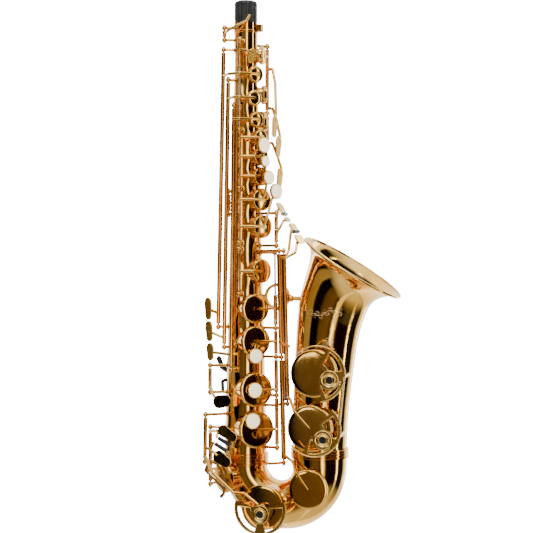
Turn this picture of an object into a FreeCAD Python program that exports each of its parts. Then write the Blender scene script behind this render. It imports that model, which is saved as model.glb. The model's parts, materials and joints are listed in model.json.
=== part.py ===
"""Alto saxophone body with its bow, bell, keywork and end plug; the neck is off.

Frame, in millimetres: the origin is the mouth of the neck socket, +Z runs up the body
tube's axis, and the bow and bell lie in the XZ plane, with the bell towards +X. The
keywork faces a front that is turned by keywork_turn from -Y towards +X. Most places are
therefore given by at(across, out, height): across the front towards the bell, out from
the tube's axis towards the front, and the height.
"""
import FreeCAD, Part
import Sketcher
import math
import os

Vector = FreeCAD.Vector
doc = FreeCAD.newDocument("saxophone")

# ---------------------------------------------------------------- driving dimensions

DIMENSIONS = {
    # main tube
    "tube_top_z": -20, "tube_bottom_z": -480, "tube_top_r": 12.4, "tube_bottom_r": 23.9,
    "tube_wall": 0.8, "keywork_turn": 17,
    # bow and bell
    "bow_turn_r": 43, "bow_bell_r": 30, "bow_bell_z": -468, "bell_rim_r": 60.4,
    "rim_bead_r": 1.7, "sheet_wall": 0.9,
    # neck socket and end plug
    "socket_r": 12.1, "socket_depth": 18, "socket_lip": 8, "plug_r": 12.9,
    "plug_top_z": 33.4, "plug_travel": 30,
    # keywork stock
    "rod_r": 1.2, "hinge_bore_r": 1.28, "hinge_r": 2.1, "arm_r": 1.7, "post_r": 1.6,
    "post_ball_r": 3.0, "cup_depth": 4.2, "cup_wall": 0.9, "pad_gap": 0.35,
    "pad_inset": 0.05, "hole_lip": 2.8, "chimney_wall": 0.9, "plate_t": 1.9,
    "pearl_t": 2.2, "roller_r": 2.4,
}

sheet = doc.addObject("Spreadsheet::Sheet", "Dimensions")
for line, (alias, value) in enumerate(DIMENSIONS.items(), start=1):
    sheet.set(f"A{line}", alias)
    sheet.set(f"B{line}", str(value))
    sheet.setAlias(f"B{line}", alias)
doc.recompute()


def dim(alias):
    return float(getattr(sheet, alias))


# ---------------------------------------------------------------- places and directions

TURN = math.radians(dim("keywork_turn"))
ACROSS = Vector(math.cos(TURN), math.sin(TURN), 0)
OUT = Vector(math.sin(TURN), -math.cos(TURN), 0)
UP = Vector(0, 0, 1)


def at(across, out, height):
    """A point given across the keywork's front, out from the tube's axis, and up."""
    return ACROSS * across + OUT * out + UP * height


def facing(bearing, tilt_up=0):
    """The direction at a bearing from the front, positive towards the bell."""
    turned = math.radians(bearing)
    raised = math.radians(tilt_up)
    level = ACROSS * math.sin(turned) + OUT * math.cos(turned)
    return level * math.cos(raised) + UP * math.sin(raised)


def tube_radius(height):
    share = (dim("tube_top_z") - height) / (dim("tube_top_z") - dim("tube_bottom_z"))
    return dim("tube_top_r") + share * (dim("tube_bottom_r") - dim("tube_top_r"))


def aim(start, direction, roll_to=None):
    """A placement at start whose Z axis runs along direction."""
    z_axis = Vector(direction).normalize()
    if roll_to is None:
        return FreeCAD.Placement(start, FreeCAD.Rotation(UP, z_axis))
    x_axis = Vector(roll_to) - z_axis * Vector(roll_to).dot(z_axis)
    return FreeCAD.Placement(start, FreeCAD.Rotation(x_axis, Vector(), z_axis, "ZXY"))


# ---------------------------------------------------------------- document objects

def formula(text):
    """A formula of <alias> names as the sheet's own expression."""
    return str(text).replace("<", "Dimensions.").replace(">", "")


def worth(text):
    """What a formula of <alias> names comes to."""
    return float(sheet.evalExpression(formula(text).replace("Dimensions.", "")))


def primitive(kind, placement, **sizes):
    """A Part primitive whose sizes are numbers or formulas of the sheet's cells."""
    thing = doc.addObject(f"Part::{kind}", kind)
    for name, value in sizes.items():
        if isinstance(value, str):
            thing.setExpression(name, formula(value))
        else:
            setattr(thing, name, value)
    thing.Placement = placement
    return thing


def rod(start, end, radius):
    span = end - start
    return primitive("Cylinder", aim(start, span), Radius=radius, Height=span.Length)


def ball(centre, radius):
    return primitive("Sphere", aim(centre, UP), Radius=radius)


def bar(points, radius="<arm_r>"):
    """A round bar through some points, with a ball at each inner one."""
    runs = [rod(start, end, radius) for start, end in zip(points, points[1:])]
    return runs + [ball(point, radius) for point in points[1:-1]]


def fuse(parts, name="fused"):
    if len(parts) == 1:
        return parts[0]
    joined = doc.addObject("Part::MultiFuse", name)
    joined.Shapes = parts
    return joined


def cut(base, tools, name="cut"):
    result = doc.addObject("Part::Cut", name)
    result.Base = base
    result.Tool = fuse(tools, "tools")
    return result


def group(parts, name="group"):
    bundle = doc.addObject("Part::Compound", name)
    bundle.Links = parts
    return bundle


def own_shape(shape, name):
    feature = doc.addObject("Part::Feature", name)
    feature.Shape = shape
    return feature


NODES = {}


def node(label, thing):
    """Names a finished sub-part; its label is its file's name."""
    thing.Label = label
    NODES[label] = thing
    return thing


def turned_body(name, profile, placement=None):
    """A PartDesign body turned about its Z axis from an outline of (radius, height) formulas."""
    body = doc.addObject("PartDesign::Body", name)
    plane = next(f for f in body.Origin.OriginFeatures if f.Role == "XZ_Plane")
    outline = body.newObject("Sketcher::SketchObject", f"{name}_outline")
    outline.AttachmentSupport = [(plane, "")]
    outline.MapMode = "FlatFace"
    corners = [Vector(worth(radius), worth(height), 0) for radius, height in profile]
    for corner, following in zip(corners, corners[1:] + corners[:1]):
        outline.addGeometry(Part.LineSegment(corner, following), False)
    for i, (radius, height) in enumerate(profile):
        before = (i - 1) % len(profile)
        outline.addConstraint(Sketcher.Constraint("Coincident", before, 2, i, 1))
        for kind, value, text in (("DistanceX", corners[i].x, radius),
                                  ("DistanceY", corners[i].y, height)):
            pinned = outline.addConstraint(Sketcher.Constraint(kind, -1, 1, i, 1, value))
            outline.setExpression(f"Constraints[{pinned}]", formula(text))
    turn = body.newObject("PartDesign::Revolution", f"{name}_turned")
    turn.Profile = outline
    turn.ReferenceAxis = (outline, ["V_Axis"])
    turn.Angle = 360
    body.Tip = turn
    if placement:
        body.Placement = placement
    return body


def lofted(sections, name):
    """A solid through circles given as (centre, axis, radius)."""
    loft = doc.addObject("Part::Loft", name)
    rings = []
    for centre, axis, radius in sections:
        ring = doc.addObject("Part::Circle", f"{name}_ring")
        ring.Radius = radius
        ring.Placement = aim(centre, axis, roll_to=Vector(0, 1, 0))
        rings.append(ring)
    loft.Sections = rings
    loft.Solid = True
    return loft


def teardrop(name, big, big_r, small, small_r, normal, thickness):
    """A flat touch-plate between two discs, its top face looking along normal."""
    span = small - big
    span = span - Vector(normal) * span.dot(normal)
    length = span.Length
    lean = math.acos((big_r - small_r) / length)
    away = Vector(math.cos(lean), math.sin(lean), 0)
    mirrored = Vector(away.x, -away.y, 0)
    end = Vector(length, 0, 0)
    corners = [away * big_r, end + away * small_r, end + mirrored * small_r, mirrored * big_r]
    edges = [
        Part.LineSegment(corners[0], corners[1]).toShape(),
        Part.Arc(corners[1], Vector(length + small_r, 0, 0), corners[2]).toShape(),
        Part.LineSegment(corners[2], corners[3]).toShape(),
        Part.Arc(corners[3], Vector(-big_r, 0, 0), corners[0]).toShape(),
    ]
    plate = Part.Face(Part.Wire(edges)).extrude(UP * thickness)
    plate = plate.makeFillet(thickness * 0.35, plate.Edges)
    feature = own_shape(plate, name)
    feature.Placement = aim(big - Vector(normal) * thickness, normal, roll_to=span)
    return feature


def disc(centre, normal, radius, low, high):
    """A disc square to normal, from low to high above centre along it."""
    return rod(centre + normal * low, centre + normal * high, radius)


def on_line(line, height):
    """Where a line given by its two ends reaches a height."""
    start, end = line
    return start + (end - start) * ((height - start.z) / (end.z - start.z))


# ---------------------------------------------------------------- hinge lines

UPPER_STACK = (at(-6.5, 21.5, -13), at(-7.5, 28, -239))
G_SHARP = (at(-7.5, 28, -246), at(-7.5, 29, -296))
LOWER_STACK = (at(32.5, 13, -250), at(35, 18.5, -467))
BELL_FLAT = (at(37, 22, -248), at(42.5, 24.5, -483))
BELL_NATURAL = (at(42.4, 19, -248), at(46.6, 20.5, -418))
TABLE = (at(34, 16, -205.8), at(34, 16, -242))
SIDE_HIGH = (at(-25, 3, -22), at(-31, 4, -333))
SIDE_MIDDLE = (at(-19.5, 14, -57), at(-24, 18, -355))
SIDE_LOW = (at(-13, 20.5, -86), at(-16, 27, -380))
PALM = (at(24, -14, -16), at(24, -14, -131))
OCTAVE = (at(-24, 4, 2.4), at(-24, 4, -11))
THUMB = (at(-9, -25, -130), at(9, -25, -130))
PIP = (at(-20, -18, -180), at(-20, -18, -206))
LOW_C = (at(-44.6, 22, -430), at(-45.3, 23, -482))
LOW_E_FLAT = (at(-40, 0, -446), at(-40, 0, -510))
HIGH_F_SHARP = (at(-40, 9, -376), at(-40, 9, -406))

# ---------------------------------------------------------------- tone holes

def tube_hole(bearing, height, cup_r, rise):
    """A hole on the body tube: where its rim's centre is, which way it faces, and sizes."""
    normal = facing(bearing)
    reach = tube_radius(height) + rise
    return {"foot": UP * height, "normal": normal, "rim": UP * height + normal * reach,
            "cup_r": cup_r}


def bow_section(turn):
    """The bow's centre and outer radius at an angle from the body tube's side."""
    swept = math.radians(turn)
    reach = dim("bow_turn_r")
    centre = Vector(reach - reach * math.cos(swept), 0, dim("tube_bottom_z") - 8
                    - reach * math.sin(swept))
    growth = (dim("bow_bell_r") - dim("tube_bottom_r")) * turn / 180
    return centre, dim("tube_bottom_r") + growth


def bow_hole(turn, normal, cup_r, rise):
    centre, radius = bow_section(turn)
    return {"foot": centre, "normal": normal, "rim": centre + normal * (radius + rise),
            "cup_r": cup_r}


def bell_hole(x, height, radius, cup_r, rise):
    normal = Vector(math.sin(math.radians(7)), -math.cos(math.radians(7)), 0)
    foot = Vector(x, 0, height)
    return {"foot": foot, "normal": normal, "rim": foot + normal * (radius + rise),
            "cup_r": cup_r}


TUBE_HOLES = {
    "palm_f": tube_hole(75, -28.7, 10, 3.5),
    "palm_e_flat": tube_hole(100, -72, 10.5, 4),
    "palm_d": tube_hole(95, -103, 11, 4),
    "side_e": tube_hole(36, -51, 9, 3),
    "side_c": tube_hole(30, -77.5, 8.5, 3),
    "side_b_flat": tube_hole(36, -101.5, 8.5, 3),
    "key_c": tube_hole(45, -122, 9, 4),
    "key_b": tube_hole(45, -143, 10, 4),
    "key_bis": tube_hole(45, -165, 10.5, 4),
    "key_a": tube_hole(45, -191, 12.5, 4),
    "key_g": tube_hole(45, -221, 13, 4.5),
    "key_g_sharp": tube_hole(42, -270.5, 13.5, 4.5),
    "key_f_sharp": tube_hole(20, -312.3, 16, 5),
    "key_f": tube_hole(20, -348.5, 17, 5),
    "key_e": tube_hole(20, -402, 19, 5),
    "key_d": tube_hole(20, -446, 20.5, 5),
    "octave_pip": tube_hole(-155, -193, 4, 4),
}
BOW_HOLES = {
    "low_e_flat": bow_hole(12, facing(-55, -7), 17, 4),
    "low_c": bow_hole(75, facing(-17), 25, 3.5),
    "low_c_sharp": bow_hole(152, facing(-14), 21.5, 4),
}
BELL_HOLES = {
    "low_b_flat": bell_hole(90.9, -381, 32.7, 26, 4),
    "low_b": bell_hole(86.9, -440.9, 30.4, 25.3, 4),
}
HOLES = {**TUBE_HOLES, **BOW_HOLES, **BELL_HOLES}


def chimney(hole):
    return rod(hole["foot"], hole["rim"], f"{hole['cup_r']} - <hole_lip> + <chimney_wall>")


def chimney_bore(hole):
    past = hole["rim"] + hole["normal"]
    return rod(hole["foot"], past, f"{hole['cup_r']} - <hole_lip>")


# ---------------------------------------------------------------- body tube, bow and bell

def tube_cone(inset, name):
    cone = primitive("Cone", aim(UP * dim("tube_bottom_z"), UP),
                     Radius1=f"<tube_bottom_r> - {inset}", Radius2=f"<tube_top_r> - {inset}",
                     Height="<tube_top_z> - <tube_bottom_z>")
    cone.Label = name
    return cone


def bow_sections(inset):
    top, radius = bow_section(0)
    sections = [(top + UP * 8, UP, radius - inset)]
    for turn in range(0, 181, 20):
        centre, radius = bow_section(turn)
        swept = math.radians(turn)
        along = Vector(-math.sin(swept), 0, math.cos(swept))
        sections.append((centre, along, radius - inset))
    end, radius = bow_section(180)
    sections.append((Vector(end.x, 0, dim("bow_bell_z")), -UP, radius - inset))
    return sections


BELL_OUTLINE = [
    # x, z, tilt of the section in degrees, outer radius
    (86, -468, 0, 30), (86.6, -445, 2.5, 30.2), (89.2, -400, 4, 31.8), (93, -358, 6, 33.6),
    (97.2, -325, 12, 36), (104.8, -297, 23, 38.6), (112.5, -281.5, 30, 42.5),
    (118.8, -272.9, 32, 49), (123.6, -266.6, 32.4, 60.4),
]


def bell_sections(inset):
    sections = []
    for x, z, tilt, radius in BELL_OUTLINE:
        lean = math.radians(tilt)
        axis = Vector(math.sin(lean), 0, math.cos(lean))
        sections.append((Vector(x, 0, z), axis, radius - inset))
    return sections


def open_shell(outer, inner, holes):
    walls = fuse([outer] + [chimney(hole) for hole in holes.values()])
    return cut(walls, [inner] + [chimney_bore(hole) for hole in holes.values()])


node("body_tube", open_shell(tube_cone(0, "tube_outside"),
                             tube_cone("<tube_wall>", "tube_inside"), TUBE_HOLES))
node("bow", open_shell(lofted(bow_sections(0), "bow_outside"),
                       lofted(bow_sections(dim("sheet_wall")), "bow_inside"), BOW_HOLES))

mouth_x, mouth_z, mouth_tilt, mouth_r = BELL_OUTLINE[-1]
mouth_lean = math.radians(mouth_tilt)
mouth_axis = Vector(math.sin(mouth_lean), 0, math.cos(mouth_lean))
mouth = Vector(mouth_x, 0, mouth_z)
bead = primitive("Torus", aim(mouth, mouth_axis), Radius1="<bell_rim_r>",
                 Radius2="<rim_bead_r>")
inner_sections = bell_sections(dim("sheet_wall"))
past_mouth = [(mouth + mouth_axis * 0.3, mouth_axis, mouth_r - 0.3)]
bell_sheet = open_shell(lofted(bell_sections(0), "bell_outside"),
                        lofted(inner_sections[:-1] + past_mouth, "bell_inside"), BELL_HOLES)
node("bell", fuse([bell_sheet, bead]))


def banded_ring(label, inner_r, height, bands, placement):
    """A ferrule: a thin ring with raised bands along its height."""
    outline = [(f"{inner_r}", "0"), (f"{inner_r} + 1.1", "0")]
    step = height / bands
    for i in range(bands):
        low, high = step * (i + 0.2), step * (i + 0.75)
        outline += [(f"{inner_r} + 1.1", f"{low}"), (f"{inner_r} + 1.9", f"{low + 0.4}"),
                    (f"{inner_r} + 1.9", f"{high - 0.4}"), (f"{inner_r} + 1.1", f"{high}")]
    outline += [(f"{inner_r} + 1.1", f"{height}"), (f"{inner_r}", f"{height}")]
    return node(label, turned_body(label, outline, placement))


banded_ring("body_bow_ferrule", "<tube_bottom_r> + 0.1", 13.5, 4, aim(UP * -487.5, UP))
banded_ring("bell_bow_ring", "<bow_bell_r> + 0.45", 11, 3,
            aim(Vector(2 * dim("bow_turn_r"), 0, -477), UP))

# ---------------------------------------------------------------- neck socket and end plug

socket_shell = turned_body("socket_shell", [
    ("<socket_r> + 0.5", "<socket_lip>"), ("<socket_r> + 1.3", "<socket_lip>"),
    ("<socket_r> + 1.3", "-0.4"), ("<socket_r> + 1.8", "-0.9"), ("<socket_r> + 1.8", "-2.6"),
    ("<socket_r> + 1", "-3.1"), ("<socket_r> + 1", "<tube_top_z> - 6"),
    ("<socket_r> + 0.52", "<tube_top_z> - 6"), ("<socket_r> + 0.52", "<tube_top_z>"),
    ("<socket_r> - 0.6", "<tube_top_z>"), ("<socket_r> - 0.6", "-<socket_depth>"),
    ("<socket_r>", "-<socket_depth>"), ("<socket_r>", "0"), ("<socket_r> + 0.5", "0"),
])
lug_side = facing(72)
lug_across = facing(-18)
lug = primitive("Box", aim(lug_side * 12.8 + lug_across * 3.1 - UP * 2, UP, roll_to=lug_side),
                Length=6.8, Width=6.2, Height=8)
slit = primitive("Box", aim(lug_side * 11 + lug_across * 0.6 - UP * 2.2, UP,
                            roll_to=lug_side), Length=9, Width=1.2, Height=11)
screw_at = lug_side * 17 + UP * 2
screw_hole = rod(screw_at - lug_across * 5, screw_at + lug_across * 5, 1.45)
socket_clear = [primitive("Cylinder", aim(UP * -dim("socket_depth"), UP),
                          Radius="<socket_r>", Height="<socket_depth> + 0.5"),
                primitive("Cylinder", aim(Vector(), UP), Radius="<socket_r> + 0.5",
                          Height="<socket_lip> + 2")]
node("neck_socket", cut(fuse([socket_shell, lug]), [slit, screw_hole] + socket_clear))
node("socket_screw", fuse([
    rod(screw_at - lug_across * 4.4, screw_at + lug_across * 3.4, 1.4),
    disc(screw_at, lug_across, 3.3, 3.4, 5.6),
    rod(screw_at - lug_across * 4.4, screw_at - lug_across * 3.3, 2.3),
]))

plug_core = turned_body("plug_core", [
    ("0", "<plug_top_z>"), ("<plug_r> * 0.7", "<plug_top_z>"),
    ("<plug_r> * 0.93", "<plug_top_z> - 1.3"), ("<plug_r>", "<plug_top_z> - 3.6"),
    ("<plug_r>", "<socket_lip> + 0.9"), ("<plug_r> - 0.5", "<socket_lip> + 0.35"),
    ("<socket_r> + 0.1", "<socket_lip> + 0.35"), ("<socket_r> + 0.1", "1.2"),
    ("<socket_r> - 0.9", "0.5"), ("0", "0.5"),
])
FLUTES = 14
flutes = []
for turn in range(FLUTES):
    side = facing(turn * 360 / FLUTES) * 14.3
    flutes.append(rod(side + UP * (dim("socket_lip") + 1.6), side + UP * 40, 2.15))
node("end_plug", cut(plug_core, flutes))

# ---------------------------------------------------------------- envelopes for the feet

trunk = fuse([tube_cone(0, "tube_envelope")] + [chimney(h) for h in TUBE_HOLES.values()]
             + [primitive("Cylinder", aim(UP * (dim("tube_top_z") - 6), UP),
                          Radius="<socket_r> + 1", Height=34)])
bow_solid = fuse([lofted(bow_sections(0), "bow_envelope")]
                 + [chimney(h) for h in BOW_HOLES.values()])
bell_solid = fuse([lofted(bell_sections(0), "bell_envelope")]
                  + [chimney(h) for h in BELL_HOLES.values()])

# ---------------------------------------------------------------- posts and rods

ROD_RUNS = []


def post(line, height, foot=None):
    """A ball on a stem, at a height on a hinge line, reaching in to the tube's axis."""
    here = on_line(line, height)
    foot = foot or UP * height
    return [ball(here, "<post_ball_r>"), rod(here, foot, "<post_r>")]


def rod_through(line, low, high):
    """The steel rod of a hinge line, between two heights."""
    ROD_RUNS.append((on_line(line, high), on_line(line, low)))


def post_group(label, posts, lines, solids):
    stems = fuse([piece for pieces in posts for piece in pieces])
    bores = [rod(start, end, "<rod_r>") for start, end in lines]
    return node(label, cut(stems, bores + solids))


rod_through(UPPER_STACK, -242, -10)
rod_through(G_SHARP, -299, -243)
rod_through(LOWER_STACK, -470, -247)
rod_through(BELL_FLAT, -486, -245)
rod_through(BELL_NATURAL, -421, -245)
rod_through(TABLE, -245.6, -202.1)
rod_through(SIDE_HIGH, -336, -19)
rod_through(SIDE_MIDDLE, -358, -54)
rod_through(SIDE_LOW, -383, -83)
rod_through(PALM, -134, -13)
rod_through(OCTAVE, -14, 5.4)
rod_through(PIP, -209, -177)
rod_through(LOW_C, -485, -427)
rod_through(LOW_E_FLAT, -513, -443)
rod_through(HIGH_F_SHARP, -409, -373)
ROD_RUNS.append((at(-12, -25, -130), at(12, -25, -130)))

ferrule_height = (-487.5, -474)
ferrule_clear = rod(UP * ferrule_height[0], UP * ferrule_height[1], "<tube_bottom_r> + 2.1")


def bent_post(line, height, *ways):
    """A post whose stem goes by way of some points."""
    here = on_line(line, height)
    return [ball(here, 2.7)] + bar([here, *ways], "<post_r>")


post_group("upper_posts", [post(UPPER_STACK, z) for z in (-13, -113.5, -178.5, -239)]
           + [post(G_SHARP, z) for z in (-246, -296)]
           + [post(PALM, z) for z in (-16, -91.5, -131)]
           + [post(OCTAVE, z) for z in (2.4, -11)]
           + [post(PIP, z) for z in (-180, -206)]
           + [[ball(end, "<post_ball_r>"), rod(end, at(0, 0, -130), "<post_r>")]
              for end in THUMB],
           ROD_RUNS, [trunk])
post_group("lower_posts", [post(LOWER_STACK, z) for z in (-250, -334, -366, -409, -467)]
           + [bent_post(BELL_FLAT, -248, at(0, 0, -248)),
              bent_post(BELL_NATURAL, -248, on_line(BELL_FLAT, -248)),
              bent_post(BELL_FLAT, -366, on_line(LOWER_STACK, -366)),
              bent_post(BELL_NATURAL, -418, at(32, 4, -421), at(0, 0, -421)),
              bent_post(BELL_FLAT, -483, at(34, 8, -486), at(0, 0, -488))]
           + [post(TABLE, z) for z in (-205.8, -242)],
           ROD_RUNS, [trunk, bow_solid, ferrule_clear])
post_group("side_posts", [post(SIDE_HIGH, z) for z in (-22, -333)]
           + [post(SIDE_MIDDLE, z) for z in (-57, -355)]
           + [post(SIDE_LOW, z) for z in (-86, -380)]
           + [post(HIGH_F_SHARP, z) for z in (-376, -406)]
           + [post(LOW_C, z) for z in (-430, -482)]
           + [post(LOW_E_FLAT, -446), post(LOW_E_FLAT, -510, at(0, -14, -500))],
           ROD_RUNS, [trunk, bow_solid, ferrule_clear])
node("hinge_rods", group([rod(start, end, "<rod_r>") for start, end in ROD_RUNS]))

# ---------------------------------------------------------------- keys

HINGES = {}
RIDERS = {}


def cup_of(hole):
    """A key cup over a hole: its brass, the hollow for its pad, and the pad."""
    rim, normal, radius = hole["rim"], hole["normal"], hole["cup_r"]
    gap = dim("pad_gap")
    crown = primitive("Cone", aim(rim + normal * (gap + dim("cup_depth")), normal),
                      Radius1=radius, Radius2=radius * 0.82, Height=0.9)
    hub = disc(rim, normal, 3.1, gap + 3.6, gap + 6.3)
    brass = [disc(rim, normal, radius, gap + 0.9, gap + dim("cup_depth")), crown, hub]
    hollow = disc(rim, normal, f"{radius} - <cup_wall>", gap + 0.5, gap + 3.2)
    pad = disc(rim, normal, f"{radius} - <cup_wall> - <pad_inset>", gap, gap + 3.2)
    return brass, hollow, pad


def top_of(hole, rise=4.6):
    return hole["rim"] + hole["normal"] * rise


def key(label, line, low, high, brass, cups=(), opens=0.0, swing=8.0):
    """A key: a hinge tube between two heights of its line, its brass, and its cups.

    opens is how far in degrees it stands open at rest, and swing how far it turns.
    """
    start, end = on_line(line, high), on_line(line, low)
    return key_between(label, start, end, brass, cups, opens, swing)


def key_between(label, start, end, brass, cups=(), opens=0.0, swing=8.0):
    pieces = [rod(start, end, "<hinge_r>")] + list(brass)
    along = (end - start).normalize()
    hollows = [rod(start - along, end + along, "<hinge_bore_r>")]
    pads = []
    lift = 1
    for hole in cups:
        cup_brass, hollow, pad = cup_of(hole)
        pieces += cup_brass
        hollows.append(hollow)
        pads.append(pad)
        lift = math.copysign(1, along.cross(hole["rim"] - start).dot(hole["normal"]))
    body = cut(fuse(pieces), hollows)
    whole = group([body] + pads) if pads else body
    HINGES[label] = {"start": start, "axis": along * lift, "opens": opens, "swing": swing}
    whole.Placement = opened(label)
    return node(label, whole)


def opened(label):
    """The turn that takes a key from where it closes its hole to where it rests."""
    hinge = HINGES[label]
    turn = FreeCAD.Rotation(hinge["axis"], hinge["opens"])
    start = hinge["start"]
    return FreeCAD.Placement(start - turn.multVec(start), turn)


def roller_seat(start, end):
    """The axle and its two lugs, which belong to the key's brass."""
    return [rod(start, end, 0.9), ball(start, 1.7), ball(end, 1.7)]


def roller(label, name, start, end):
    """A roller that turns on a key's axle."""
    along = (end - start).normalize()
    barrel = rod(start + along * 2.4, end - along * 2.4, "<roller_r>")
    bored = cut(barrel, [rod(start, end, 0.98)])
    moved(label, bored, name)
    HINGES[name] = {"start": opened(label).multVec(start),
                    "axis": opened(label).Rotation.multVec(along), "on": label}


def moved(label, thing, name):
    """A piece that sits on a key, turned with it to where the key rests."""
    RIDERS[name] = label
    thing.Placement = opened(label).multiply(thing.Placement)
    return node(name, thing)


def arm(line, height, hole, *ways):
    """An arm from a hinge line, by way of some points, over a cup's edge to its crown."""
    path = [on_line(line, height), *ways]
    outward = path[-1] - hole["rim"]
    outward = (outward - hole["normal"] * outward.dot(hole["normal"])).normalize()
    shoulder = top_of(hole, 5.2) + outward * (hole["cup_r"] + 0.6)
    return bar([*path, shoulder, top_of(hole, 5.2)])


def pearl(label, name, centre, normal, radius):
    """A pearl button and, on its key, the shallow setting that it sits in."""
    moved(label, disc(centre, normal, radius, 0, dim("pearl_t")), name)


def setting(centre, normal, radius):
    return disc(centre, normal, radius + 0.9, -1.5, 0)


# upper stack, left hand: its touches stand on arms that pass over the next cup
PEARL_FACE = facing(48)


def stack_touch(hole, centre, radius):
    riser = top_of(hole, 10.5) + UP * 9
    return bar([top_of(hole, 5), riser, centre - PEARL_FACE * 3.2], 1.55) \
        + [setting(centre, PEARL_FACE, radius)]


UPPER_KEYS = {
    # name: tube low, tube high, pearl name, across, out, height, pearl radius
    "key_c": (-131.8, -117, None),
    "key_b": (-154, -132.2, ("pearl_b", 20.3, 24.3, -131, 8)),
    "key_bis": (-175, -154.4, ("pearl_bis", 21.7, 24.4, -149, 5.6)),
    "key_a": (-205, -182, ("pearl_a", 25.4, 22, -166.8, 7.2)),
    "key_g": (-235.5, -205.4, ("pearl_g", 33.2, 15.8, -181.8, 7.9)),
}
for label, (low, high, touch) in UPPER_KEYS.items():
    hole = HOLES[label]
    brass = arm(UPPER_STACK, max(min(hole["rim"].z, high - 3), low + 3), hole)
    if touch:
        _, across, out, height, radius = touch
        brass += stack_touch(hole, at(across, out, height), radius)
    key(label, UPPER_STACK, low, high, brass, [hole], opens=5, swing=5)
    if touch:
        pearl(label, touch[0], at(across, out, height), PEARL_FACE, radius)

key("front_f_key", UPPER_STACK, -44, -16.4,
    bar([on_line(UPPER_STACK, -24), at(2, 26, -26), at(8, 24, -28)])
    + [teardrop("front_f_touch", at(8, 25.5, -28), 4.5, at(6, 25.5, -36), 3.6, facing(10),
                dim("plate_t"))], swing=6)

# lower stack, right hand
LOWER_FACE = facing(20)
LOWER_KEYS = {
    "key_f_sharp": (-330.5, -297, None),
    "key_f": (-362.5, -337.5, ("pearl_f", 9.5, -364.3, 7.6)),
    "key_e": (-405.5, -369.5, ("pearl_e", 8.5, -402, 7.9)),
    "key_d": (-463.5, -412.5, ("pearl_d", 6, -435.5, 8.2)),
}
for label, (low, high, touch) in LOWER_KEYS.items():
    hole = HOLES[label]
    brass = arm(LOWER_STACK, max(min(hole["rim"].z, high - 3), low + 3), hole)
    if touch:
        name, across, height, radius = touch
        reach = hole["rim"].dot(hole["normal"]) + 8.4
        out = (reach - across * math.sin(math.radians(20))) / math.cos(math.radians(20))
        centre = at(across, out, height)
        brass += [setting(centre, LOWER_FACE, radius)]
        brass += bar([top_of(hole, 4.4), centre - LOWER_FACE * 4], 2.4)
    key(label, LOWER_STACK, low, high, brass, [hole], opens=6, swing=6)
    if touch:
        pearl(label, name, centre, LOWER_FACE, radius)

# G sharp, and the left little finger's table
key("key_g_sharp", G_SHARP, -292.5, -249.5, arm(G_SHARP, -270.5, HOLES["key_g_sharp"],
    at(6, 31, -270.5)), [HOLES["key_g_sharp"]], swing=4)
TABLE_FACE = facing(70, 30)
TABLE_FRONT = facing(-20)
TABLE_UPHILL = TABLE_FRONT.cross(TABLE_FACE)


def on_table(front, uphill, rise=0.0):
    """A point on the little finger's sloping table, which the four touches share."""
    return at(45, 2, -207.6) + TABLE_FRONT * front + TABLE_UPHILL * uphill + TABLE_FACE * rise


def table_touch(name, uphill, big_r, small_r, reach=4.2):
    return teardrop(name, on_table(reach, uphill), big_r, on_table(-reach, uphill), small_r,
                    TABLE_FACE, dim("plate_t"))


def table_seat(uphill, plate_uphill):
    """The ends of a roller's axle by a touch's lower edge, and the brass that holds it."""
    ends = [on_table(side * 8.6, uphill, -1.2) for side in (-1, 1)]
    lugs = [rod(on_table(side * 6.8, plate_uphill, -1.1), end, 0.9)
            for side, end in zip((-1, 1), ends)]
    return ends, roller_seat(*ends) + lugs


ends, seat = table_seat(2, 8)
key("g_sharp_lever", TABLE, -223.8, -209.5,
    bar([on_line(TABLE, -214), on_table(8, 8, -3), on_table(0, 11, -2.6)])
    + [table_touch("g_sharp_touch", 11, 6, 5.6)] + seat, swing=6)
roller("g_sharp_lever", "g_sharp_roller", *ends)
key("c_sharp_lever", TABLE, -238.5, -224.2,
    bar([on_line(TABLE, -230), on_table(8, -5.6, -3.4), on_table(0, -5.3, -2.6)], 1.5)
    + [table_touch("c_sharp_touch", -5.3, 3.3, 3.1, 5)], swing=6)

# side keys, right hand: long tubes at the left of the tube
SIDE_FACE = facing(-50)
SIDE_KEYS = {
    "side_e": (SIDE_HIGH, -329.5, -25.5, -51, [at(-18, 21, -51), at(-7, 28.4, -51)],
               -318, at(-43, 9, -306), at(-43, 10, -320)),
    "side_c": (SIDE_MIDDLE, -351.5, -60.5, -77.5, [at(-13, 26.5, -77.5), at(-7, 29, -77.5)],
               -345, at(-42, 13, -332), at(-41, 14, -344)),
    "side_b_flat": (SIDE_LOW, -376.5, -89.5, -101.5, [at(-14, 27, -101.5), at(-7, 30, -101.5)],
                    -363, at(-40.5, 16, -356.5), at(-39.5, 16, -365.3)),
}
for label, (line, low, high, cup_z, ways, touch_z, upper, lower) in SIDE_KEYS.items():
    middle = (upper + lower) * 0.5
    brass = arm(line, cup_z, HOLES[label], *ways)
    brass += bar([on_line(line, touch_z), middle - SIDE_FACE])
    brass += [teardrop(f"{label}_touch", upper, 6, lower, 5.2, SIDE_FACE, dim("plate_t"))]
    key(label, line, low, high, brass, [HOLES[label]], swing=5)

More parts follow.
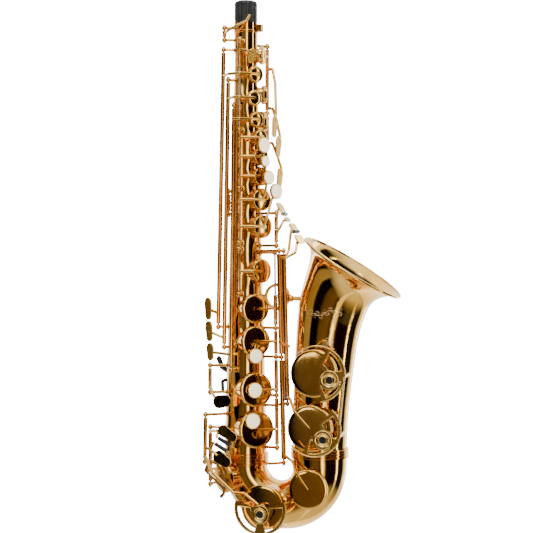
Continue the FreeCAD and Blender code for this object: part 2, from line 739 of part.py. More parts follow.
# palm keys, left hand: touches behind the tube's bell side
PALM_FACE = facing(60)
PALM_KEYS = {
    "palm_f": (-44, -19.5, [at(30, -11, -42), at(33, -8, -58), at(34, -3, -94)],
               at(33.5, 1, -101), at(33.5, 3, -116), 5.4),
    "palm_e_flat": (-88, -44.5, [at(30, -17, -86), at(35, -16, -100), at(38.5, -9, -118)],
                    at(38, -4, -124), at(38, -1, -138), 6),
    "palm_d": (-127.5, -95, [at(30, -19, -125), at(35, -19, -138), at(40, -13, -154)],
               at(39.5, -8, -160), at(39.5, -5, -173), 6.2),
}
for label, (low, high, ways, upper, lower, radius) in PALM_KEYS.items():
    hole = HOLES[label]
    brass = bar([on_line(PALM, low + 2.5), *ways, upper - PALM_FACE])
    brass += arm(PALM, max(min(hole["rim"].z, high - 3), low + 3), hole)
    brass += [teardrop(f"{label}_touch", upper, radius, lower, radius - 1, PALM_FACE,
                       dim("plate_t"))]
    key(label, PALM, low, high, brass, [hole], swing=6)

# octave keys: the ring lever at the socket, the thumb's lever and the pip on the tube
key("octave_ring_lever", OCTAVE, -7.6, -1,
    bar([on_line(OCTAVE, -4), at(-20, 13, -2), at(-10, 19.5, 3), at(1, 20.5, 8),
         at(4.5, 18.5, 15)], 1.5), swing=6)
key_between("octave_thumb_lever", at(-5.6, -25, -130), at(5.6, -25, -130),
            bar([at(0, -25, -130), at(0, -28, -138)])
            + [teardrop("octave_touch", at(0, -29, -152), 9, at(0, -28.6, -138), 5,
                        facing(180), dim("plate_t"))], swing=5)
key("octave_pip_key", PIP, -202.5, -183.5, arm(PIP, -193, HOLES["octave_pip"]),
    [HOLES["octave_pip"]], swing=8)

# bell keys, left little finger
key("low_b_flat_key", BELL_FLAT, -362.5, -251.5,
    arm(BELL_FLAT, -350, HOLES["low_b_flat"], at(50, 40, -353))
    + bar([on_line(BELL_FLAT, -255), at(45, 27, -256), at(55, 20, -250),
           on_table(5, -33, -2.8)])
    + [table_touch("low_b_flat_touch", -31, 6.2, 5.8)],
    [HOLES["low_b_flat"]], opens=7, swing=7)
ends, seat = table_seat(-20.8, -15.4)
key("low_b_key", BELL_NATURAL, -414.5, -251.5,
    arm(BELL_NATURAL, -410, HOLES["low_b"], at(52, 40, -411))
    + bar([on_line(BELL_NATURAL, -258), at(47, 12, -248), on_table(1, -22, -8.5),
           on_table(0, -14, -2.6)])
    + [table_touch("low_b_touch", -14, 3.8, 3.6, 4.8)] + seat,
    [HOLES["low_b"]], opens=8, swing=8)
roller("low_b_key", "low_b_roller", *ends)
key("low_c_sharp_key", BELL_FLAT, -479.5, -369.5,
    arm(BELL_FLAT, -474, HOLES["low_c_sharp"], at(52, 42, -480)),
    [HOLES["low_c_sharp"]], swing=7)

# right little finger: low E flat and low C, with their rollers
FINGER_FACE = facing(-25, 10)
E_FLAT_ROLLER = (at(-32, 33, -453.5), at(-15, 37, -463.5))
C_ROLLER = (at(-34.5, 32, -460), at(-17.5, 36, -470))
key("low_e_flat_key", LOW_E_FLAT, -506.5, -449.5,
    arm(LOW_E_FLAT, -503, HOLES["low_e_flat"])
    + bar([on_line(LOW_E_FLAT, -453), at(-39, 14, -449), at(-30, 31, -447)])
    + bar([at(-30, 31, -447), E_FLAT_ROLLER[0]], 1.4)
    + [teardrop("low_e_flat_touch", at(-25, 35, -446.5), 6.6, at(-12, 38, -454), 5,
                FINGER_FACE, dim("plate_t")),
       rod(at(-13, 36.5, -455.5), E_FLAT_ROLLER[1], 1.4)]
    + roller_seat(*E_FLAT_ROLLER),
    [HOLES["low_e_flat"]], swing=6)
roller("low_e_flat_key", "low_e_flat_roller", *E_FLAT_ROLLER)
key("low_c_key", LOW_C, -478.5, -433.5,
    arm(LOW_C, -475, HOLES["low_c"], at(-34, 42, -492), at(-10, 54, -512))
    + bar([on_line(LOW_C, -466), at(-38, 30, -468), at(-30, 33, -474)])
    + bar([at(-38, 30, -468), C_ROLLER[0]], 1.4)
    + [teardrop("low_c_touch", at(-29, 35, -475.3), 7.2, at(-18.5, 38, -481), 6,
                FINGER_FACE, dim("plate_t")),
       rod(at(-15.5, 37, -479), C_ROLLER[1], 1.4)]
    + roller_seat(*C_ROLLER),
    [HOLES["low_c"]], opens=5, swing=5)
roller("low_c_key", "low_c_roller", *C_ROLLER)
key("high_f_sharp_key", HIGH_F_SHARP, -402.5, -379.5,
    bar([on_line(HIGH_F_SHARP, -399), at(-36, 20, -408), at(-31, 24, -415)])
    + [teardrop("high_f_sharp_touch", at(-30, 27, -415.5), 7.4, at(-21, 30, -414), 6.8,
                facing(-30), dim("plate_t"))], swing=7)

# ---------------------------------------------------------------- guards and bumpers

def guard_band(hole, rise, radius, start_turn, sweep, width=3.6, thickness=2):
    """A flat arched band around a cup, square to the hole's normal."""
    normal = hole["normal"]
    placing = aim(hole["rim"] + normal * rise, normal, roll_to=UP)
    placing = placing.multiply(FreeCAD.Placement(Vector(), FreeCAD.Rotation(UP, start_turn)))
    outer = primitive("Cylinder", placing, Radius=radius, Height=thickness, Angle=sweep)
    inner = primitive("Cylinder", placing, Radius=radius - width, Height=thickness)
    return cut(outer, [inner])


def around(hole, rise, reach, turn):
    """A point above a hole's rim, at a reach and a clockwise turn from straight up."""
    normal = hole["normal"]
    sideways = UP.cross(normal).normalize()
    upward = normal.cross(sideways)
    turned = math.radians(turn)
    return hole["rim"] + normal * rise + sideways * (reach * math.sin(turned)) \
        + upward * (reach * math.cos(turned))


def flat_bar(start, end, normal, width=3.4, thickness=2):
    span = end - start
    side = normal.cross(span).normalize()
    corner = start - side * (width / 2)
    box = primitive("Box", aim(corner, normal, roll_to=span), Length=span.Length,
                    Width=width, Height=thickness)
    return box


def guard(hole, rise, radius, span, eye_reach, eye_turn, feet, solids):
    """A flat web on feet over a cup, with two windows and a ring that holds a bumper."""
    normal = hole["normal"]
    start, sweep = span
    edge, rib = 10, 13                      # degrees of web left at an end and beside the rib
    window = sweep / 2 - edge - rib
    eye = around(hole, rise, eye_reach, eye_turn)
    pieces = [guard_band(hole, rise, radius, -(start + sweep), sweep, radius - 8)]
    for turn in feet:
        top = around(hole, rise + 1, radius - 1.8, turn)
        foot = hole["foot"] + (top - hole["rim"]) - normal * (top - hole["rim"]).dot(normal)
        pieces.append(rod(top, foot + normal * 6, 1.9))
    windows = [guard_band(hole, rise - 1, radius - 3.8, -(start + turn), window,
                          radius - 18.5, 4) for turn in (sweep - edge, sweep / 2 - rib)]
    web = cut(fuse(pieces), windows)
    return cut(fuse([web, disc(eye, normal, 11.2, 0, 2.4)]),
               [disc(eye, normal, 7.6, -1, 4), *solids]), eye


bow_end_clear = rod(Vector(2 * dim("bow_turn_r"), 0, -478),
                    Vector(2 * dim("bow_turn_r"), 0, -465.5), "<bow_bell_r> + 2.2")
b_flat_guard, b_flat_eye = guard(HOLES["low_b_flat"], 18, 31, (20, 150), 15, 115,
                                 (35, 95, 165), [bell_solid])
side_rail = rod(around(HOLES["low_b_flat"], 19, 29.2, 95),
                around(HOLES["low_b"], 19.5, 28.2, 78), 1.7)
b_guard, b_eye = guard(HOLES["low_b"], 18.5, 30, (45, 160), 15, 137, (60, 105, 148),
                       [bell_solid, bow_end_clear])
c_guard, c_eye = guard(HOLES["low_c"], 17.5, 29.5, (75, 210), 6, 180, (80, 150, 280),
                       [bow_solid])
node("bell_key_guard", fuse([b_flat_guard, side_rail, b_guard]))
node("low_c_guard", c_guard)
EYES = [(b_flat_eye, HOLES["low_b_flat"]["normal"]), (b_eye, HOLES["low_b"]["normal"]),
        (c_eye, HOLES["low_c"]["normal"])]
node("bumper_caps", group([cut(disc(eye, normal, 7.4, -1, 3), [disc(eye, normal, 3.6, -2, 4)])
                           for eye, normal in EYES]))
node("bumper_felts", group([disc(eye, normal, 3.5, -2, 3.4) for eye, normal in EYES]))

cage_hole = HOLES["low_e_flat"]
cage = [guard_band(cage_hole, 13, 21.5, 200, 230),
        flat_bar(around(cage_hole, 13, 20, 295), around(cage_hole, 13, 20, 115),
                 cage_hole["normal"])]
for turn in (295, 115):
    cage_top = around(cage_hole, 13.5, 20, turn)
    cage.append(rod(cage_top, cage_top - cage_hole["normal"] * 30, 1.6))
node("low_e_flat_guard", cut(fuse(cage), [bow_solid, trunk, ferrule_clear]))

# ---------------------------------------------------------------- brace, rests and ring

ring_centre = Vector(37, 0, -299)
brace = [primitive("Torus", aim(ring_centre, Vector(0, 1, 0)), Radius1=13.2, Radius2=2),
         rod(ring_centre - Vector(13, 0, 0), Vector(0, 0, -299), 2.6),
         rod(ring_centre + Vector(13, 0, -2), Vector(100, 0, -301), 2.6),
         ball(ring_centre + Vector(15.5, 0, -2), 4.2)]
node("bell_brace", cut(fuse(brace), [trunk, bell_solid]))

strap_z = -255
strap_seat = tube_radius(strap_z)
strap_ring = cut(fuse([
    rod(at(-1.6, -(strap_seat + 13), strap_z), at(1.6, -(strap_seat + 13), strap_z), 8.6),
    rod(at(0, -(strap_seat + 6), strap_z), at(0, 0, strap_z), 4)]),
    [rod(at(-8, -(strap_seat + 13), strap_z), at(8, -(strap_seat + 13), strap_z), 5.6), trunk])
node("strap_ring", strap_ring)

rest_z = -172
node("thumb_rest", cut(rod(at(0, -(tube_radius(rest_z) + 4.5), rest_z), at(0, 0, rest_z), 9),
                       [trunk]))
hook_z = -385
node("thumb_hook", cut(fuse(
    bar([at(-18, -10, hook_z), at(-27, -8, hook_z + 6), at(-30.5, -4, hook_z + 16)], 3)
    + bar([at(-18, -6, hook_z - 6), at(-26.5, -2, hook_z - 10), at(-26, 0, hook_z - 20)], 2)
    + [ball(at(-30.5, -4, hook_z + 16), 3)]), [trunk]))

# ---------------------------------------------------------------- finish

doc.recompute()
for thing in doc.Objects:
    if "Invalid" in thing.State or "Error" in thing.State:
        raise RuntimeError(f"{thing.Name} ({thing.Label}) failed: {thing.State}")
os.makedirs("parts", exist_ok=True)
for label, thing in NODES.items():
    shape = thing.Shape
    if shape.isNull() or not shape.isValid():
        raise RuntimeError(f"{label} is not a valid shape")
    shape.exportStep(f"parts/{label}.step")
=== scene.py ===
"""The looks of an alto saxophone body: lacquer, pearl, leather, studio and camera."""
import json
import math

import bmesh
import bpy
import numpy as np
from mathutils import Matrix, Vector
from mathutils.bvhtree import BVHTree

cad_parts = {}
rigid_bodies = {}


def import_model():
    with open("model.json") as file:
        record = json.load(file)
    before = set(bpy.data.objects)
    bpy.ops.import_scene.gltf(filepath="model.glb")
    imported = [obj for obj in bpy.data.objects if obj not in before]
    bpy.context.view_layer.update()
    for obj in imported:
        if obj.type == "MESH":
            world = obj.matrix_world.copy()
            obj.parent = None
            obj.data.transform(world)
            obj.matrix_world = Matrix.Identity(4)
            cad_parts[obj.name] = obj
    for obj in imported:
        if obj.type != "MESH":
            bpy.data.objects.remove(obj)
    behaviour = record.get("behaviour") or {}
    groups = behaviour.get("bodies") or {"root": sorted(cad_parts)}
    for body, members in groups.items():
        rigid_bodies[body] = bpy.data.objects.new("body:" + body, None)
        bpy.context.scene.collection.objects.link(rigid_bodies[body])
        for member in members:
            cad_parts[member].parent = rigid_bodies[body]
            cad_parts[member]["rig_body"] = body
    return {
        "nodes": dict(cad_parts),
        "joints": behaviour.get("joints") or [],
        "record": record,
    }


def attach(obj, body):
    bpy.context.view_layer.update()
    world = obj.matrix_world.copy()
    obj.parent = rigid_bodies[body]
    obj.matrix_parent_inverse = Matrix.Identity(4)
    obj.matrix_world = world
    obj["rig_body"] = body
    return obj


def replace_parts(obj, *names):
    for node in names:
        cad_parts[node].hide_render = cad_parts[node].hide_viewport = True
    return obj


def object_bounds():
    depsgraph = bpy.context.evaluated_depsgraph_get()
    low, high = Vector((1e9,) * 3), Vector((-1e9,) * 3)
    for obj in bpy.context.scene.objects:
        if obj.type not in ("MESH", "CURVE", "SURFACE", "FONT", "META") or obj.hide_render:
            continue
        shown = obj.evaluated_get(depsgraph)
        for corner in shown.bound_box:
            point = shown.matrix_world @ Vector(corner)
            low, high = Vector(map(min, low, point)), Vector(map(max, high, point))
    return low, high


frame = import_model()
cad_low, cad_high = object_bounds()
NODES = frame["nodes"]
JOINTS = {joint["child"]: joint for joint in frame["joints"]}
MM = 0.001

# the same front and places as the CAD, in millimetres
TURN = math.radians(17)
ACROSS = Vector((math.cos(TURN), math.sin(TURN), 0))
OUT = Vector((math.sin(TURN), -math.cos(TURN), 0))
UP = Vector((0, 0, 1))


def at(across, out, height):
    return ACROSS * across + OUT * out + UP * height


def facing(bearing, tilt_up=0):
    turned, raised = math.radians(bearing), math.radians(tilt_up)
    level = ACROSS * math.sin(turned) + OUT * math.cos(turned)
    return level * math.cos(raised) + UP * math.sin(raised)


def tube_radius(height):
    return 12.4 + (-20 - height) / 460 * 11.5


# ---------------------------------------------------------------- materials

def add_node(tree, kind, inputs=None, **settings):
    """A new node with its settings made and its inputs linked or set."""
    made = tree.nodes.new(kind)
    for key, value in settings.items():
        setattr(made, key, value)
    for key, value in (inputs or {}).items():
        if isinstance(value, bpy.types.NodeSocket):
            tree.links.new(value, made.inputs[key])
        else:
            made.inputs[key].default_value = value
    return made


class Nodes:
    """Builds one node material around a Principled shader."""

    def __init__(self, name, **settings):
        self.material = bpy.data.materials.new(name)
        self.material.use_nodes = True
        self.tree = self.material.node_tree
        self.shader = self.tree.nodes["Principled BSDF"]
        for key, value in settings.items():
            self.shader.inputs[key.replace("_", " ")].default_value = value
        self.place = self.tree.nodes.new("ShaderNodeTexCoord").outputs["Object"]

    def add(self, kind, inputs=None, **settings):
        return add_node(self.tree, kind, inputs, **settings)

    def stretched(self, scale):
        return self.add("ShaderNodeMapping", {"Vector": self.place, "Scale": scale}) \
            .outputs["Vector"]

    def noise(self, scale, detail=3.0, place=None, roughness=0.5, distortion=0.0):
        return self.add("ShaderNodeTexNoise", {
            "Vector": place or self.place, "Scale": scale, "Detail": detail,
            "Roughness": roughness, "Distortion": distortion}).outputs["Fac"]

    def ramp(self, value, *stops):
        made = self.add("ShaderNodeValToRGB", {"Fac": value})
        band = made.color_ramp
        while len(band.elements) < len(stops):
            band.elements.new(0.5)
        for element, (position, colour) in zip(band.elements, stops):
            element.position = position
            element.color = (*colour, 1) if len(colour) == 3 else colour
        return made.outputs["Color"]

    def span(self, value, low, high, from_low=0.3, from_high=0.7):
        return self.add("ShaderNodeMapRange", {
            "Value": value, "From Min": from_low, "From Max": from_high,
            "To Min": low, "To Max": high}).outputs["Result"]

    def mix(self, share, first, second, blend_type="MIX"):
        made = self.add("ShaderNodeMix", data_type="RGBA", blend_type=blend_type)
        for socket, value in zip((made.inputs[0], made.inputs[6], made.inputs[7]),
                                 (share, first, second)):
            if isinstance(value, bpy.types.NodeSocket):
                self.tree.links.new(value, socket)
            else:
                socket.default_value = value if isinstance(value, float) else (*value, 1)
        return made.outputs[2]

    def bump(self, height, strength, distance, under=None):
        inputs = {"Height": height, "Strength": strength, "Distance": distance}
        if under is not None:
            inputs["Normal"] = under
        return self.add("ShaderNodeBump", inputs).outputs["Normal"]

    def done(self, colour=None, roughness=None, normal=None):
        for key, value in (("Base Color", colour), ("Roughness", roughness),
                           ("Normal", normal)):
            if value is not None:
                self.tree.links.new(value, self.shader.inputs[key])
        return self.material


def throat_shade_mask(n):
    """How far down the inside of the bell a point lies, from 0 at the flare to 1: the mask of the
    painted shade deep in the bell.
    """
    lean = math.radians(32.4)
    outward = (math.sin(lean), 0, math.cos(lean))
    from_mouth = n.add("ShaderNodeVectorMath", {0: n.place, 1: (0.1236, 0, -0.2666)},
                       operation="SUBTRACT").outputs["Vector"]
    height = n.add("ShaderNodeVectorMath", {0: from_mouth, 1: outward},
                   operation="DOT_PRODUCT").outputs["Value"]
    along = n.add("ShaderNodeVectorMath", {0: outward, "Scale": height},
                  operation="SCALE").outputs["Vector"]
    radial = n.add("ShaderNodeVectorMath", {0: from_mouth, 1: along},
                   operation="SUBTRACT").outputs["Vector"]
    surface = n.tree.nodes.new("ShaderNodeNewGeometry").outputs["Normal"]
    faces_in = n.add("ShaderNodeVectorMath", {0: surface, 1: radial},
                     operation="DOT_PRODUCT").outputs["Value"]
    inner = n.add("ShaderNodeMath", {0: faces_in, 1: 0.0}, operation="LESS_THAN").outputs[0]
    near = n.add("ShaderNodeMath", {0: height, 1: -0.105}, operation="GREATER_THAN").outputs[0]
    deep = n.span(height, 0.0, 0.985, -0.0075, -0.0095)
    both = n.add("ShaderNodeMath", {0: inner, 1: near}, operation="MULTIPLY").outputs[0]
    return n.add("ShaderNodeMath", {0: both, 1: deep}, operation="MULTIPLY").outputs[0]


def lacquer(name, deep, light, smooth, wavy, shade_strength=0.55, reach=4.5, throat_shade=None):
    """Lacquered brass: cloudy gold, handling marks, faint dents, and painted shade in corners."""
    n = Nodes(name, Metallic=1.0, Coat_Weight=0.12, Coat_Roughness=0.03)
    cloud = n.noise(22, 4, distortion=0.6)
    fine = n.noise(420, 5)
    gold = n.ramp(cloud, (0.32, deep), (0.68, light))
    speck = n.ramp(n.noise(900, 2), (0.70, (1, 1, 1)), (0.80, (0.62, 0.50, 0.38)))
    gold = n.mix(1.0, gold, speck, "MULTIPLY")
    # painted shade: ambient occlusion darkens the gold towards near black in corners, creases and
    # between parts
    corner = n.add("ShaderNodeAmbientOcclusion", {"Distance": reach * MM}, samples=6)
    corner_shade = n.span(corner.outputs["AO"], shade_strength, 0.0, 0.25, 0.85)
    gold = n.mix(corner_shade, gold, (0.045, 0.016, 0.004))
    # painted shade: deep in the bell's throat the gold darkens to near black
    if throat_shade:
        gold = n.mix(throat_shade(n), gold, (0.010, 0.004, 0.001))
    marks = n.noise(55, 6, place=n.stretched((1, 1, 0.35)), distortion=1.2)
    rough = n.add("ShaderNodeMath", {0: n.span(marks, smooth, smooth + 0.07),
                                     1: n.span(fine, 0.0, 0.02)}, operation="ADD")
    dents = n.bump(n.noise(30, 2), wavy, 0.0022)
    normal = n.bump(fine, 0.05, 0.00012, dents)
    return n.done(gold, rough.outputs[0], normal)


# deep and light gold, smoothness, dents, then how strong the painted corner shade is and how far it
# reaches in millimetres
BODY_GOLD = lacquer("body_lacquer", (0.84, 0.42, 0.05), (0.98, 0.62, 0.14), 0.03, 0.12)
# the bell's lacquer also carries painted shade inside its throat
BELL_GOLD = lacquer("bell_lacquer", (0.84, 0.42, 0.05), (0.98, 0.62, 0.14), 0.03, 0.12,
                    throat_shade=throat_shade_mask)
KEY_GOLD = lacquer("key_lacquer", (0.84, 0.42, 0.05), (0.98, 0.62, 0.15), 0.06, 0.06, 0.75, 8)
FITTING_GOLD = lacquer("fitting_lacquer", (0.80, 0.36, 0.04), (0.95, 0.54, 0.11), 0.05, 0.06)
# a lighter, yellower copy of the lacquer with weaker corner shade: painted light on the guards
LIT_GUARD_GOLD = lacquer("guard_lacquer", (0.88, 0.48, 0.08), (1.0, 0.70, 0.22), 0.10, 0.05, 0.3)
# a darker, redder copy of the key lacquer: painted shade on hinge tubes crowded by their neighbours
SHADED_TUBE_GOLD = lacquer("tube_lacquer_shaded", (0.50, 0.19, 0.03), (0.78, 0.36, 0.07), 0.14, 0.05, 0.8, 9)
# a darker copy of the lacquer: painted shade on the posts and their feet
SHADED_POST_GOLD = lacquer("post_lacquer", (0.76, 0.33, 0.035), (0.92, 0.50, 0.09), 0.08, 0.05, 0.75, 8)


def pearl_material():
    n = Nodes("pearl", Coat_Weight=0.8, Coat_Roughness=0.05, Subsurface_Weight=0.08,
              Subsurface_Radius=(0.004, 0.003, 0.002), Subsurface_Scale=0.5)
    layers = n.noise(260, 5, distortion=3.5)
    sheen = n.ramp(layers, (0.30, (0.92, 0.66, 0.38)), (0.42, (0.98, 0.84, 0.56)),
                   (0.52, (0.88, 0.80, 0.54)), (0.62, (0.99, 0.86, 0.60)),
                   (0.75, (0.92, 0.70, 0.54)))
    rough = n.span(layers, 0.10, 0.22)
    return n.done(sheen, rough, n.bump(layers, 0.08, 0.0001))


def leather_material():
    n = Nodes("pad_leather", Specular_IOR_Level=0.35)
    cells = n.add("ShaderNodeTexVoronoi", {"Vector": n.place, "Scale": 1500},
                  feature="DISTANCE_TO_EDGE").outputs["Distance"]
    tone = n.ramp(n.noise(160, 4), (0.3, (0.20, 0.10, 0.045)), (0.7, (0.36, 0.20, 0.10)))
    return n.done(tone, n.span(n.noise(600, 3), 0.45, 0.65),
                  n.bump(n.span(cells, 0, 1, 0, 0.25), 0.35, 0.00012))


def plastic_material(name, tone, low, high):
    n = Nodes(name, Coat_Weight=0.1, Coat_Roughness=0.12, Specular_IOR_Level=0.3)
    grain = n.noise(1400, 3)
    colour = n.ramp(n.noise(90, 3), (0.3, tone), (0.75, tuple(c * 2.2 for c in tone)))
    return n.done(colour, n.span(n.noise(230, 5), low, high), n.bump(grain, 0.10, 0.00008))


def steel_material(name, dark, bright):
    n = Nodes(name, Metallic=1.0)
    turned = n.noise(1, 4, place=n.stretched((60, 60, 2600)))
    colour = n.ramp(n.noise(70, 3), (0.3, dark), (0.7, bright))
    return n.done(colour, n.span(turned, 0.16, 0.34), n.bump(turned, 0.12, 0.00005))


def felt_material(name, tone, sheen):
    n = Nodes(name, Roughness=0.95, Specular_IOR_Level=0.1, Sheen_Weight=sheen,
              Sheen_Roughness=0.6)
    fuzz = n.noise(2600, 6, roughness=0.8)
    colour = n.ramp(fuzz, (0.3, tuple(c * 0.55 for c in tone)), (0.7, tone))
    return n.done(colour, None, n.bump(fuzz, 0.7, 0.0003))


def engraving_material():
    n = Nodes("engraved_line", Metallic=1.0)
    tone = n.ramp(n.noise(500, 3), (0.3, (0.80, 0.55, 0.26)), (0.7, (1.0, 0.80, 0.46)))
    return n.done(tone, n.span(n.noise(900, 2), 0.35, 0.55), n.bump(n.noise(1800), 0.3, 0.0001))


PEARL = pearl_material()
LEATHER = leather_material()
BLACK = plastic_material("black_plastic", (0.006, 0.006, 0.007), 0.22, 0.42)
ROLLER_BLACK = plastic_material("black_roller", (0.005, 0.005, 0.006), 0.08, 0.2)
STEEL = steel_material("steel", (0.42, 0.33, 0.24), (0.66, 0.56, 0.45))
BLACK_FELT = felt_material("black_felt", (0.004, 0.004, 0.005), 0.05)
ENGRAVED = engraving_material()

SLOT_LOOKS = {
    "body_lacquer": BODY_GOLD, "fitting_lacquer": FITTING_GOLD, "guard_lacquer": LIT_GUARD_GOLD,
    "post_lacquer": SHADED_POST_GOLD, "key_lacquer": KEY_GOLD, "steel": STEEL, "pearl": PEARL,
    "black_plastic": BLACK, "black_roller": ROLLER_BLACK, "black_felt": BLACK_FELT,
}
for part in frame["record"]["subparts"]:
    NODES[part["node"]].data.materials.clear()
    NODES[part["node"]].data.materials.append(SLOT_LOOKS[part["material_slot"]])

NODES["bell"].data.materials[0] = BELL_GOLD

# ---------------------------------------------------------------- making pieces


def finished(name, mesh, look, body, angle=35):
    """A mesh in millimetres becomes a piece that rides on a body."""
    mesh.transform(Matrix.Scale(MM, 4))
    for face in mesh.polygons:
        face.use_smooth = True
    mesh.materials.append(look)
    piece = bpy.data.objects.new(name, mesh)
    bpy.context.scene.collection.objects.link(piece)
    sharp = math.radians(angle)
    shaped = bmesh.new()
    shaped.from_mesh(mesh)
    for edge in shaped.edges:
        if len(edge.link_faces) == 2 and edge.calc_face_angle(0) > sharp:
            edge.smooth = False
    shaped.to_mesh(mesh)
    shaped.free()
    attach(piece, body)
    return piece


def frame_at(point, normal):
    """A matrix whose Z runs along normal, at a point."""
    turn = Vector(normal).to_track_quat("Z", "Y").to_matrix().to_4x4()
    return Matrix.Translation(point) @ turn


class Shapes:
    """Several turned or swept shapes gathered into one mesh."""

    def __init__(self):
        self.mesh = bmesh.new()

    def turned(self, outline, where, steps=48):
        """A closed ring of outline (radius, height) turned about where's Z axis."""
        rings = []
        for radius, height in outline:
            if radius < 1e-6:
                rings.append([self.mesh.verts.new(where @ Vector((0, 0, height)))])
                continue
            rings.append([self.mesh.verts.new(where @ Vector((
                radius * math.cos(2 * math.pi * i / steps),
                radius * math.sin(2 * math.pi * i / steps), height)))
                for i in range(steps)])
        for lower, upper in zip(rings, rings[1:]):
            for i in range(steps):
                j = (i + 1) % steps
                corners = [lower[i % len(lower)], lower[j % len(lower)],
                           upper[j % len(upper)], upper[i % len(upper)]]
                unique = list(dict.fromkeys(corners))
                if len(unique) > 2:
                    self.mesh.faces.new(unique)
        return self

    def swept(self, points, radius, sides=8):
        """A round wire through points, with tapered ends."""
        rings = []
        side = None
        for i, point in enumerate(points):
            ahead = points[min(i + 1, len(points) - 1)] - points[max(i - 1, 0)]
            ahead.normalize()
            side = (side or ahead.orthogonal())
            side = (side - ahead * side.dot(ahead)).normalized()
            other = ahead.cross(side)
            width = radius(i / (len(points) - 1)) if callable(radius) else radius
            rings.append([self.mesh.verts.new(
                point + side * (width * math.cos(2 * math.pi * k / sides))
                + other * (width * math.sin(2 * math.pi * k / sides)))
                for k in range(sides)])
        for lower, upper in zip(rings, rings[1:]):
            for k in range(sides):
                j = (k + 1) % sides
                self.mesh.faces.new([lower[k], lower[j], upper[j], upper[k]])
        self.mesh.faces.new(rings[0][::-1])
        self.mesh.faces.new(rings[-1])
        return self

    def piece(self, name, look, slot, body, angle=35):
        bmesh.ops.recalc_face_normals(self.mesh, faces=self.mesh.faces)
        mesh = bpy.data.meshes.new(name)
        self.mesh.to_mesh(mesh)
        self.mesh.free()
        return finished(name, mesh, look, body, angle)


# ---------------------------------------------------------------- tone holes and pads

def tube_hole(bearing, height, cup_r, rise):
    normal = facing(bearing)
    return UP * height + normal * (tube_radius(height) + rise), normal, cup_r


def bow_hole(turn, normal, cup_r, rise):
    swept = math.radians(turn)
    centre = Vector((43 - 43 * math.cos(swept), 0, -488 - 43 * math.sin(swept)))
    return centre + normal * (23.9 + 6.1 * turn / 180 + rise), normal, cup_r


def bell_hole(x, height, radius, cup_r, rise):
    normal = Vector((math.sin(math.radians(7)), -math.cos(math.radians(7)), 0))
    return Vector((x, 0, height)) + normal * (radius + rise), normal, cup_r


CUPS = {
    "palm_f": tube_hole(75, -28.7, 10, 3.5), "palm_e_flat": tube_hole(100, -72, 10.5, 4),
    "palm_d": tube_hole(95, -103, 11, 4), "side_e": tube_hole(36, -51, 9, 3),
    "side_c": tube_hole(30, -77.5, 8.5, 3), "side_b_flat": tube_hole(36, -101.5, 8.5, 3),
    "key_c": tube_hole(45, -122, 9, 4), "key_b": tube_hole(45, -143, 10, 4),
    "key_bis": tube_hole(45, -165, 10.5, 4), "key_a": tube_hole(45, -191, 12.5, 4),
    "key_g": tube_hole(45, -221, 13, 4.5), "key_g_sharp": tube_hole(42, -270.5, 13.5, 4.5),
    "key_f_sharp": tube_hole(20, -312.3, 16, 5), "key_f": tube_hole(20, -348.5, 17, 5),
    "key_e": tube_hole(20, -402, 19, 5), "key_d": tube_hole(20, -446, 20.5, 5),
    "octave_pip_key": tube_hole(-155, -193, 4, 4),
    "low_e_flat_key": bow_hole(12, facing(-55, -7), 17, 4),
    "low_c_key": bow_hole(75, facing(-17), 25, 3.5),
    "low_c_sharp_key": bow_hole(152, facing(-14), 21.5, 4),
    "low_b_flat_key": bell_hole(90.9, -381, 32.7, 26, 4),
    "low_b_key": bell_hole(86.9, -440.9, 30.4, 25.3, 4),
}
STANDS_OPEN = {"key_c", "key_b", "key_bis", "key_a", "key_g", "key_f_sharp", "key_f", "key_e",
               "key_d", "low_b_flat_key", "low_b_key", "low_c_key"}


def at_rest(body):
    """The turn that takes a key from its closed place to where it rests, in millimetres."""
    if body not in STANDS_OPEN:
        return Matrix.Identity(4)
    joint = JOINTS[body]
    pivot = Vector(joint["pos_m"]) / MM
    turn = Matrix.Rotation(-math.radians(joint["range_deg"][1]), 4, Vector(joint["axis"]))
    return Matrix.Translation(pivot) @ turn @ Matrix.Translation(-pivot)


for label, (rim, normal, cup_r) in CUPS.items():
    where = at_rest(label) @ frame_at(rim, normal)
    edge = cup_r - 0.3
    Shapes().turned([
        (0, 0.62), (edge * 0.45, 0.58), (edge * 0.62, 0.34), (edge * 0.86, 0.30),
        (edge - 0.15, 0.42), (edge, 0.72), (edge - 0.1, 1.05), (edge - 0.5, 1.2),
        (0, 1.2)], where, 64).piece(f"{label}_pad", LEATHER, "key_lacquer", label, 60)
    shell = Shapes().turned([
        (cup_r - 0.05, 1.3), (cup_r + 0.22, 1.42), (cup_r + 0.26, 1.8), (cup_r + 0.06, 2.1),
        (cup_r + 0.05, 4.0), (cup_r - 0.15, 4.6), (cup_r - 0.9, 5.1), (cup_r * 0.82, 5.48),
        (cup_r * 0.6, 5.85), (cup_r * 0.3, 6.12), (0, 6.2)], where, 72)
    shell.piece(f"{label}_crown", KEY_GOLD, "key_lacquer", label, 50)
    if cup_r > 9:
        Shapes().turned([(0, 0.36), (cup_r * 0.16, 0.34), (cup_r * 0.36, 0.16),
                         (cup_r * 0.38, 0.30), (cup_r * 0.38, 0.60), (0, 0.60)], where, 48) \
            .piece(f"{label}_resonator", FITTING_GOLD, "key_lacquer", label, 50)

# ---------------------------------------------------------------- pearls

def disc_of(node):
    """A disc node's centre, outward axis, radius and half thickness, in millimetres."""
    points = np.array([v.co for v in NODES[node].data.vertices], float) / MM
    middle = (points.max(0) + points.min(0)) / 2
    _, _, axes = np.linalg.svd(points - points.mean(0), full_matrices=False)
    axis = Vector(axes[2])
    axis = axis if axis.dot(OUT) > 0 else -axis
    along = (points - middle) @ np.array(axis)
    radius = np.linalg.norm((points - middle) - np.outer(along, np.array(axis)), axis=1).max()
    return Vector(middle), axis, float(radius), float(along.max())


